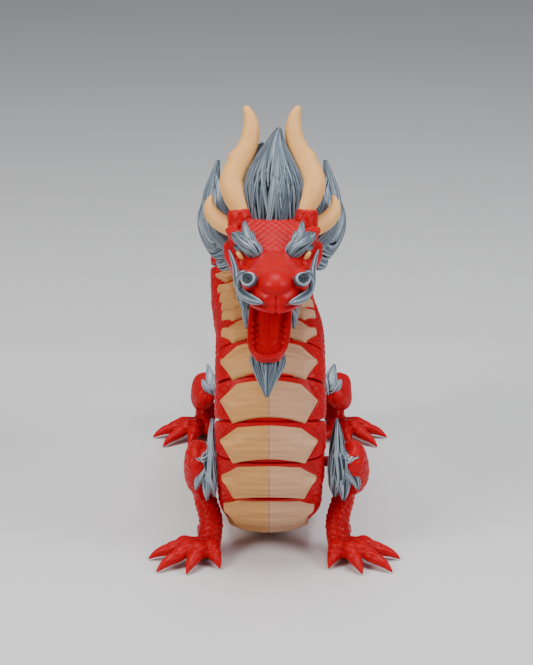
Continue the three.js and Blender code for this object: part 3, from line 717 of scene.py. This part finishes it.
def tuft(name, body, stands_for, cores, count, thickness, seed, side=(1, 0, 0), steps=18, curl=0.5,
         core_share=0.86, bright=1.0):
    """Locks laid over a core. cores: station lists (x, y, z, half width, half thickness)."""
    rng = np.random.default_rng(seed)
    verts, faces, painted_light_tones, start = [], [], [], 0

    def keep(rings, painted_light_tone):
        nonlocal start
        v, f = capped_tube(rings, start)
        verts.append(v)
        faces.extend(f)
        painted_light_tones.append(np.concatenate([painted_light_tone.reshape(-1), [0.3, 0.8]]))
        start += len(v)

    cores = [np.asarray(core, float) for core in cores]
    all_area = np.sum([np.sum(core[:, 3]) for core in cores])
    for core in cores:
        inner = core.copy()
        inner[:, 3:] *= core_share
        rings = sweep(inner, side, 20, 30)
        # the core under the locks is slate: painted shade between them
        keep(rings, np.full(rings.shape[:2], 0.12))
        locks = max(6, int(count * np.sum(core[:, 3]) / all_area))
        skin = sweep(core, side, 96, 80)
        centre = skin.mean(1)
        for k in range(locks):
            # every third lock runs from root to tip, the others over part of the core
            phi = 2 * math.pi * (k + rng.uniform(-0.3, 0.3)) / locks
            s0 = rng.uniform(0.0, 0.42) if k % 3 else 0.0
            s1 = min(1.0, s0 + rng.uniform(0.5, 0.8)) if k % 3 else 1.0
            s = np.linspace(s0, s1, steps)
            swerve = curl * math.sin(rng.uniform(0, 6.28))
            wander = phi + swerve * np.sin(2.6 * (s - s0) + rng.uniform(-0.4, 0.4))
            row = s * (len(skin) - 1)
            col = np.mod(wander / (2 * math.pi), 1) * skin.shape[1]
            r0 = np.clip(row.astype(int), 0, len(skin) - 2)
            c0 = col.astype(int) % skin.shape[1]
            c1 = (c0 + 1) % skin.shape[1]
            fr, fc = (row - r0)[:, None], (col - col.astype(int))[:, None]
            path = (skin[r0, c0] * (1 - fc) + skin[r0, c1] * fc) * (1 - fr) \
                + (skin[r0 + 1, c0] * (1 - fc) + skin[r0 + 1, c1] * fc) * fr
            mid = centre[r0] * (1 - fr) + centre[r0 + 1] * fr
            outward = path - mid
            outward /= np.linalg.norm(outward, axis=1)[:, None] + 1e-6
            t = np.linspace(0, 1, steps)
            lift = rng.uniform(0.0, 0.5) + 0.6 * t ** 3 * (0 if k % 3 == 0 else 1)
            path = path + outward * (thickness * 0.6 * lift)[:, None]
            taper = np.sin(math.pi * np.clip(0.16 + 0.84 * t, 0, 1)) ** 0.75
            radius = thickness * rng.uniform(0.75, 1.2) * taper
            radius = np.maximum(radius * (1 - 0.15 * t), 0.06)
            rings, painted_light_tone = strand(path, outward, radius)
            keep(rings, np.clip(painted_light_tone * rng.uniform(0.6, 1.0) * bright, 0, 1))
    piece(name, np.concatenate(verts), faces, HAIR, body, stands_for, np.concatenate(painted_light_tones), recalc=False)


def build_crest():
    """The tall flame between the horns, with two darker tips behind it."""
    crest = stations([[0, 29.6, 1, 9.8, 5.4], [0.2, 28.6, 8.0, 11.2, 5.4], [0.4, 26.5, 17, 12.2, 5.2],
                      [0.6, 24, 24, 10.8, 4.8], [1.0, 22, 30, 7.4, 3.8], [1.4, 20.4, 35, 4.2, 2.6],
                      [2.0, 19, 39, 2.1, 1.5], [2.9, 18, 42.3, 0.5, 0.5]])
    behind = [mirrored([[6, 20, 12, 4, 3], [7.2, 17, 26, 3.4, 2.2], [5.4, 15, 31.5, 1.6, 1.2],
                        [4.2, 14.4, 35.5, 0.4, 0.4]], s) for _, s in SIDES]
    tuft("crest_mane_locks", "head", ("crest_mane",), [crest, *behind], 230, 0.85, 11)


def build_cheek_mane(side, s):
    """Mane behind the cheek: one long flame and three short ones."""
    tips = [[[17, 17, -13, 3.0, 5], [22.2, 12, -8, 4.0, 7.4], [25.4, 8, 0, 4.2, 8], [26, 4, 9, 3.0, 6.4],
             [24.4, 1, 17.5, 1.8, 3.6], [22.8, -1, 24.5, 0.4, 0.6]],
            [[17, 15, -4, 3.0, 6.5], [22, 9, 6, 3.2, 6], [22.8, 5, 13, 2.2, 4], [24.2, 3, 19.5, 0.4, 0.5]],
            [[17, 18, -10, 3.0, 5], [23, 14, -10.5, 3.2, 5], [27.6, 10.5, -5, 2.6, 4.2],
             [29.6, 8, 1.5, 1.6, 2.6], [29.4, 6, 7.5, 0.4, 0.5]],
            [[16, 19, -13, 2.4, 4], [19.4, 15, -16, 2.2, 3.6], [22, 12, -18, 1.2, 2],
             [23.6, 10, -17, 0.4, 0.5]]]
    tuft(f"cheek_mane_{side}_locks", "head", (f"cheek_mane_{side}",), [mirrored(tip, s) for tip in tips],
         230, 0.75, 21 + s, curl=0.3)


def build_brow(side, s):
    """Brow tuft of five flames over the eye."""
    tips = [[[5.8, 52.6, -3.8, 1.3, 1.3], [7.4, 51.2, -2.2, 3.0, 2.4], [10.4, 49, -0.2, 3.2, 2.6],
             [13.4, 46, 2.0, 2.4, 2.0], [15.2, 44, 4.4, 0.4, 0.4]],
            [[8.8, 50.4, -0.6, 2.4, 1.9], [10.6, 48, 3.2, 1.9, 1.6], [11.4, 46, 6.4, 1.0, 0.9],
             [11.9, 45, 9.2, 0.3, 0.3]],
            [[8.0, 50.4, -1, 1.6, 1.5], [8.8, 48.6, 2.8, 1.2, 1.1], [8.8, 47.4, 5.6, 0.3, 0.3]],
            [[12.4, 47.2, 0.6, 2.2, 1.8], [15.0, 44.8, 2.0, 1.6, 1.4], [17.2, 43, 3.6, 0.35, 0.35]],
            [[11.6, 48, -0.4, 2.0, 1.7], [14.2, 46.4, -1.6, 1.3, 1.2], [16.2, 45.6, -1.2, 0.3, 0.3]]]
    tuft(f"brow_{side}_locks", "head", (f"brow_{side}",), [mirrored(tip, s) for tip in tips],
         150, 0.55, 31 + s, side=(0, 0.3, 1), curl=0.3, core_share=0.97)


def build_beard():
    beard = stations([[-2.6, 71, -38.5, 6.2, 3], [-2.8, 74.4, -41.6, 6.7, 3], [-3.0, 76.6, -46, 4.9, 2.4],
                      [-3.2, 78.2, -50.6, 2.5, 1.6], [-3.2, 79, -55.2, 0.4, 0.4]])
    tuft("beard_locks", "jaw", ("beard",), [beard], 90, 0.6, 41, curl=0.2)


def build_jaw_mane(side, s):
    """Strands that hang beside the root of the jaw, a little to the side that the jaw leans to."""
    tips = [[[8.6, 42, -16, 1.4, 3], [10.4, 44, -20, 2.2, 4], [10.0, 47, -26, 1.8, 3.4],
             [8.6, 50, -33, 0.4, 0.4]],
            [[9.0, 44, -18, 1.6, 3], [11.8, 42, -21.5, 1.6, 2.4], [13.2, 41, -26, 0.3, 0.3]],
            [[8.4, 50, -24, 1.6, 2.6], [9.8, 50, -29, 1.4, 2], [9.8, 51, -35, 0.3, 0.3]]]
    cores = [stations([[x * s - 1.4, a, u, w, t] for x, a, u, w, t in tip]) for tip in tips]
    tuft(f"jaw_mane_{side}_locks", "jaw", (), cores, 70, 0.6, 81 + s)


def build_tail_tuft():
    """Flame-shaped tuft on the free end of the tail, swept back and up."""
    reach = [(0.4, 0, 3.6, 4.6), (8, 2, 5, 8.4), (20, 6, 2.8, 5.4), (30, 12, 0.5, 0.7)]
    core = [[*(ENDS[-1] + [0, back, up]), w, t] for back, up, w, t in reach]
    tuft("tail_tuft_locks", "tail_05", ("tail_tuft",), [core], 130, 0.8, 51)


def build_hair():
    build_crest()
    for side, s in SIDES:
        build_cheek_mane(side, s)
        build_brow(side, s)
        build_whisker(side, s)
    build_beard()
    for side, s in SIDES:
        build_jaw_mane(side, s)
    build_tail_tuft()


def ribbed(rings, ribs):
    """Raises ribs along a tube. Returns the rings and how far up its rib each point is, 0..1."""
    angle = np.linspace(0, 2 * math.pi, rings.shape[1], endpoint=False)
    ridge = 0.5 + 0.5 * np.cos(ribs * angle)
    centre = rings.mean(1)[:, None]
    return centre + (rings - centre) * (0.9 + 0.14 * ridge)[None, :, None], ridge


def nostril_disc(s):
    """Pitted disc with a raised ring, facing ahead, up and outwards. Returns rings and their painted light:
    painted shade in the pits and a painted highlight on the raised ring.
    """
    rng = np.random.default_rng(61 + s)
    facing = unit([0.34 * s, -0.80, 0.50])
    hub = at(10.8 * s, 86.4, -3.7)
    right = unit(np.cross([0, 0, 1], facing))
    upward = np.cross(facing, right)
    pits = 12
    radii = np.concatenate([np.linspace(0.02, 1.9, pits), [2.2, 2.5, 2.8, 3.1, 3.3, 3.4]])
    depth = np.concatenate([np.full(pits, 0.35), [0.6, 0.8, 0.75, 0.35, -0.6, -3.4]])
    # painted shade in the pits, painted highlight on the crest of the raised ring
    shade = np.concatenate([np.full(pits, 0.1), [0.3, 0.8, 0.95, 0.8, 0.5, 0.3]])
    turn = np.linspace(0, 2 * math.pi, 40, endpoint=False)
    uneven = 1 + 0.03 * np.sin(2 * turn + s) + 0.02 * np.sin(3 * turn)
    disc = []
    for k, (radius, height) in enumerate(zip(radii, depth)):
        rough = rng.uniform(-0.5, 0.3, len(turn)) * (k < pits)
        around = right * (np.cos(turn) * uneven)[:, None] + upward * (0.9 * np.sin(turn) * uneven)[:, None]
        disc.append(hub + around * radius + facing * (height + rough)[:, None])
    speckle = rng.uniform(-0.1, 0.32, (len(radii), len(turn))) * (shade < 0.2)[:, None]
    return np.stack(disc), np.clip(shade[:, None] + speckle, 0, 1)


def build_whisker(side, s):
    """Ribbon that curls from the cheek round the nostril, a fold beside it and the nostril disc."""
    ribbon = sweep(mirrored([[18.2, 51, -1.4, 0.3, 0.3], [16.9, 55, -4.2, 1.1, 0.9],
                             [15.5, 62, -7.2, 1.5, 1.2], [15.0, 70, -9.4, 1.9, 1.5],
                             [13.8, 77, -10.6, 2.2, 1.8], [11.9, 83.6, -11.3, 2.2, 1.8],
                             [9.4, 88.4, -11.4, 2.0, 1.6], [7.0, 91.8, -11.3, 1.4, 1.2],
                             [5.2, 93.4, -11.4, 0.4, 0.4]], s), (0, -0.25, 1), 28, 90)
    ribbon, ridge = ribbed(ribbon, 5)
    fold = sweep(mirrored([[11.6, 86.2, -0.6, 0.3, 0.3], [13.4, 85.2, -1.6, 0.9, 0.7],
                           [14.4, 83.4, -4.4, 1.2, 0.9], [14.2, 81, -7.8, 1.1, 0.9],
                           [13.6, 79, -10.0, 0.7, 0.6]], s), (0, -0.25, 1), 20, 40)
    fold_turn = np.linspace(0, 2 * math.pi, fold.shape[1], endpoint=False)
    disc, disc_painted_light = nostril_disc(s)
    # rings, painted light of their points (the ribbon with a painted highlight on its ribs and painted shade
    # between them, the fold lighter in four bands round it), painted light of the two end points
    parts = [(ribbon, np.tile(0.35 + 0.6 * ridge, (len(ribbon), 1)), (0.8, 0.8)),
             (fold, np.tile(0.3 + 0.55 * np.abs(np.sin(2 * fold_turn)), (len(fold), 1)), (0.5, 0.5)),
             (disc, disc_painted_light, (0.1, 0.2))]
    verts, faces, painted_light_tones = [], [], []
    for rings, painted_light_tone, ends in parts:
        v, f = capped_tube(rings, sum(len(part) for part in verts))
        verts.append(v)
        faces += f
        painted_light_tones += [painted_light_tone.reshape(-1), ends]
    piece(f"whisker_{side}_ribbon", np.concatenate(verts), faces, HAIR, "head", (f"whisker_{side}",),
          np.concatenate(painted_light_tones))


def build_eyes():
    """Slanted almond eyes under the outer ends of the brows."""
    for side, s in SIDES:
        rings = blob(at(13.5 * s, 49.4, -4.6), (1.1, 1.4, 2.6), (-18, 34 * s, -28 * s))
        v, f = capped_tube(rings)
        piece(f"eye_{side}", v, f, TAN, "head")


# ------------------------------------------------------------------ legs
# direction in degrees, outwards from straight ahead, and reach of each toe
TOES = [(82, 25), (50, 27), (22, 21), (-24, 15)]
# upper joint, way from the knee to the ankle, and turn of the foot in degrees
LEGS = {"front": ("shoulder", (-3.4, -7, -14.5), 0), "hind": ("hip", (-1.5, -2, -14), -6)}
# shift of each leg towards +X: the photographed ones stand further out on that side
ASIDE = {"front_left": 0.4, "front_right": 5.4, "hind_left": -0.8, "hind_right": 3.4}


def build_leg(kind, side, s):
    """Thigh with its peg, shank with its clawed foot, and the tuft behind the thigh."""
    joint, to_ankle, turn = LEGS[kind]
    label = f"{kind}_{side}"
    aside = ASIDE[label]
    hip, knee = joint_at(f"{joint}_{label}"), joint_at(f"knee_{label}")
    ankle = knee + np.array(to_ankle) * [s, 1, 1]
    width_way = (0, 1, 0.35)

    def row(p, w, t):
        return [*p, w, t]

    hip, knee, ankle = hip + [aside, 0, 0], knee + [aside, 0, 0], ankle + [aside, 0, 0]
    out = np.array([s * (1 + 0.4 * max(aside, 0)), 0, 0])
    # thigh, and the peg into its link
    thigh = [sweep([row(hip + (hip - knee) * 0.42 - [s, 0, 0], 4.0, 3.2),
                    row(hip + (hip - knee) * 0.16 + out * 0.5, 8.6, 5.2),
                    row(hip + (knee - hip) * 0.42 + out, 9.2, 5.8), row(hip + (knee - hip) * 0.8, 7.2, 4.9),
                    row(knee + (knee - hip) * 0.14, 5.6, 4.4), row(knee + (knee - hip) * 0.3, 4.4, 3.6)],
                   width_way, 40, 50, 0.94),
             sweep([row(hip - [2 * s, 0, 0], 2.3, 2.3), row(hip - [9.3 * s + aside, 0, 0], 2.3, 2.3)],
                   (0, 1, 0), 20, 10)]
    v, f, n = sculpt(thigh, 0.5, 4)
    v = leg_relief(v, n, hip, knee, s)
    piece(f"upper_leg_{label}_skin", v, f, RED, f"upper_leg_{label}", (f"upper_leg_{label}",), recalc=False)

    # knee, shank, back of the foot and heel, then the toes with their claws
    down = unit(ankle - knee)
    parts = [blob(knee, (4.3, 4.6, 4.6)),
             sweep([row(knee, 4.6, 4.3), row(knee + down * 5, 5.0, 4.7), row(ankle + [0, 0, 2.5], 5.0, 5.0),
                    row([ankle[0] + s, ankle[1] - 2, 6], 5.8, 5.2),
                    row([ankle[0] + 1.4 * s, ankle[1] - 3, 1.4], 6.2, 5.8)], (0, 1, 0), 32, 40),
             blob([ankle[0] + 4 * s, ankle[1] - 6, 5.4], (7.2, 7.0, 3.8)),
             blob(ankle + [1.2 * s, 1.6, -2.5], (4.8, 5.0, 5.2))]
    base = np.array([ankle[0] + 2 * s, ankle[1] - 3, 0])
    for angle, reach in TOES:
        a = math.radians(angle + turn)
        way = np.array([s * math.sin(a), -math.cos(a), 0])
        across = (s * math.cos(a), math.sin(a), 0)
        toe = [(0.0, 5.0, 3.4, 3.8), (0.22, 6.2, 3.1, 3.5), (0.38, 6.9, 3.3, 3.4), (0.48, 6.0, 2.8, 2.9),
               (0.58, 5.2, 3.0, 2.9), (0.66, 4.4, 2.5, 2.5), (0.72, 4.2, 2.2, 2.4), (0.84, 3.2, 1.6, 1.8),
               (0.94, 1.8, 0.8, 1.0), (1.0, 0.6, 0.25, 0.3)]
        parts.append(sweep([row(base + way * d * reach + [0, 0, z], 1.12 * w, t) for d, z, w, t in toe],
                           across, 22, 60))
    v, f, n = sculpt(parts, 0.4, 3)
    v = leg_relief(v, n, knee, ankle, s)
    v[:, 2] = np.maximum(v[:, 2], 0.02)
    piece(f"lower_leg_{label}_skin", v, f, RED, f"lower_leg_{label}", (f"lower_leg_{label}",), recalc=False)
    tuft_leg(kind, label, s, hip)


def leg_relief(v, n, top, bottom, s):
    """Scales down the outside of the leg, wrinkles across it near the joints."""
    axis = unit(bottom - top)
    rel = v - top
    q = rel @ axis
    radial = rel - q[:, None] * axis
    angle = np.arctan2(radial[:, 1], radial[:, 0] * s)
    scales = fish_scales(angle * 6.5, q + 60, 3.3)
    wrinkle = 0.5 + 0.5 * np.sin(q * 2.6 + 1.2 * np.sin(angle * 2) + 0.6 * np.sin(v[:, 0] * 0.9))
    low = smoothstep(9, 4, v[:, 2])
    toes = smoothstep(0.0, 0.4, n[:, 2]) * low
    reach = np.hypot(v[:, 0] - bottom[0], v[:, 1] - bottom[1])
    plates = 0.5 + 0.5 * np.sin(reach * 2.1)
    amount = 0.42 * (1 - low) * (scales - 0.35) + 0.3 * (1 - low) * (wrinkle - 0.5) \
        + 0.22 * toes * (plates - 0.5) * smoothstep(22, 15, reach)
    return v + n * amount[:, None]


def tuft_leg(kind, label, s, hip):
    """Locks behind the top of the thigh, wider where the leg stands further out."""
    stands_for = (f"leg_tuft_{label}",) if kind == "front" else ()
    fill = max(ASIDE[label], 0)
    if kind == "front":
        shapes = [[[-6.4, -4, 1, 1.0, 1.2], [-5.6, -5, 6, 1.8, 3], [-5.4, -4, 13, 1.3, 2.2],
                   [-5.6, -2, 20, 0.3, 0.4]],
                  [[-5.4, -4, 8, 1.6, 2.4], [-4.8, -6, 2, 2.7, 3], [-4.6, -5.5, -4, 2.8, 3.2],
                   [-5.4, -4, -9, 1.9, 2.4], [-6.0, -2, -15, 0.3, 0.4]],
                  [[-4.4, -4.4, 0, 2.2, 2], [-3.4, -6.2, -6, 1.9, 1.8], [-3.0, -6.4, -11, 1.1, 1.0],
                   [-3.2, -5.6, -15.5, 0.3, 0.3]],
                  [[-4, -5, 1, 2.0, 2], [-1.4, -7.0, -2.6, 1.8, 1.6], [0.6, -7.6, -6.4, 1.0, 0.9],
                   [1.4, -7.4, -10, 0.3, 0.3]],
                  [[-4, -5, 5, 1.8, 2], [-1.0, -6.8, 3.4, 1.2, 1.2], [1.6, -7.6, 4.6, 0.3, 0.3]]]
    else:
        shapes = [[[-3, -4, 0, 2.0, 2.4], [-2.4, -3, 5, 2.4, 3.2], [-1.6, 0, 9, 1.6, 2.4],
                   [-0.4, 4, 13, 0.3, 0.4]],
                  [[-3.6, -5, 1, 1.4, 2], [-3.8, -5.4, 6, 1.2, 2], [-4.4, -3, 10, 0.3, 0.4]],
                  [[-2, -5, 2, 1.6, 2], [0.2, -6, 4.6, 1.4, 1.6], [2.2, -5, 8.2, 0.3, 0.4]]]
    cores = [[[hip[0] + (x + 0.35 * fill * (1 + x / 6)) * s, hip[1] + y, hip[2] + z, w * (1 + 0.12 * fill), t]
              for x, y, z, w, t in shape] for shape in shapes]
    tuft(f"leg_tuft_{label}_locks", f"upper_leg_{label}", stands_for, cores, 150, 0.5, 71 + s,
         core_share=0.95, bright=1.35)


build_skull()
build_jaw()
build_horns()
build_hair()
build_eyes()
for leg_kind in LEGS:
    for leg_side, sign in SIDES:
        build_leg(leg_kind, leg_side, sign)


# ------------------------------------------------------------------ floor, lights, camera, in metres
FLOOR_RADIUS = 60.0           # wide enough that its rim stays out of every view
CAMERA_LENS = 108.27          # millimetres, on a sensor 36 mm tall
CAMERA_BEFORE_FEET, CAMERA_HEIGHT, CAMERA_TILT = 0.787, 0.347, 17.3


def floor():
    material, tree, bsdf = principled("floor_pale")
    coords = tree.nodes.new("ShaderNodeTexCoord").outputs["Object"]
    tree.links.new(ramp(tree, [(0.3, (0.72, 0.72, 0.73)), (0.7, (0.76, 0.76, 0.77))], noise(tree, coords, 3)),
                   bsdf.inputs["Base Color"])
    bsdf.inputs["Roughness"].default_value = 0.35
    around = 96
    turn = np.linspace(0, 2 * math.pi, around, endpoint=False)
    verts = [(FLOOR_RADIUS * math.cos(a), FLOOR_RADIUS * math.sin(a), 0) for a in turn] + [(0, 0, 0)]
    faces = [(around, k, (k + 1) % around) for k in range(around)]
    mesh = bpy.data.meshes.new("studio_floor")
    mesh.from_pydata(verts, [], faces)
    mesh.polygons.foreach_set("use_smooth", [True] * len(mesh.polygons))
    mesh.materials.append(material)
    made = bpy.data.objects.new("studio_floor", mesh)
    bpy.context.scene.collection.objects.link(made)


def area_light(name, place, target, size, power, colour):
    light = bpy.data.lights.new(name, "AREA")
    light.shape, light.size, light.energy, light.color = "SQUARE", size, power, colour
    made = bpy.data.objects.new(name, light)
    made.location = place
    made.rotation_euler = (Vector(target) - Vector(place)).to_track_quat("-Z", "Y").to_euler()
    bpy.context.scene.collection.objects.link(made)


def studio():
    """Pale floor, soft world light, three soft lamps and the photo's camera."""
    floor()
    world = bpy.data.worlds.new("studio")
    world.use_nodes = True
    world.node_tree.nodes["Background"].inputs["Color"].default_value = (0.8, 0.83, 0.88, 1)
    world.node_tree.nodes["Background"].inputs["Strength"].default_value = 0.28
    bpy.context.scene.world = world
    target = (0, -0.08, 0.1)
    area_light("key_left", (-0.8, -0.75, 0.8), target, 0.45, 10, (1.0, 0.95, 0.88))
    area_light("key_right", (0.85, -0.6, 0.75), target, 0.45, 8, (0.95, 0.97, 1.0))
    area_light("top", (0.0, -0.15, 1.1), target, 0.6, 11, (1, 1, 1))
    camera = bpy.data.cameras.new("camera")
    camera.sensor_fit, camera.sensor_height = "VERTICAL", 36.0
    camera.lens = CAMERA_LENS
    made = bpy.data.objects.new("camera", camera)
    feet = (joint_at("shoulder_front_left")[1] - 3) * MM
    made.location = (-0.0004, feet - CAMERA_BEFORE_FEET, CAMERA_HEIGHT)
    made.rotation_euler = (math.radians(90 - CAMERA_TILT), 0, 0)
    bpy.context.scene.collection.objects.link(made)
    bpy.context.scene.camera = made


studio()
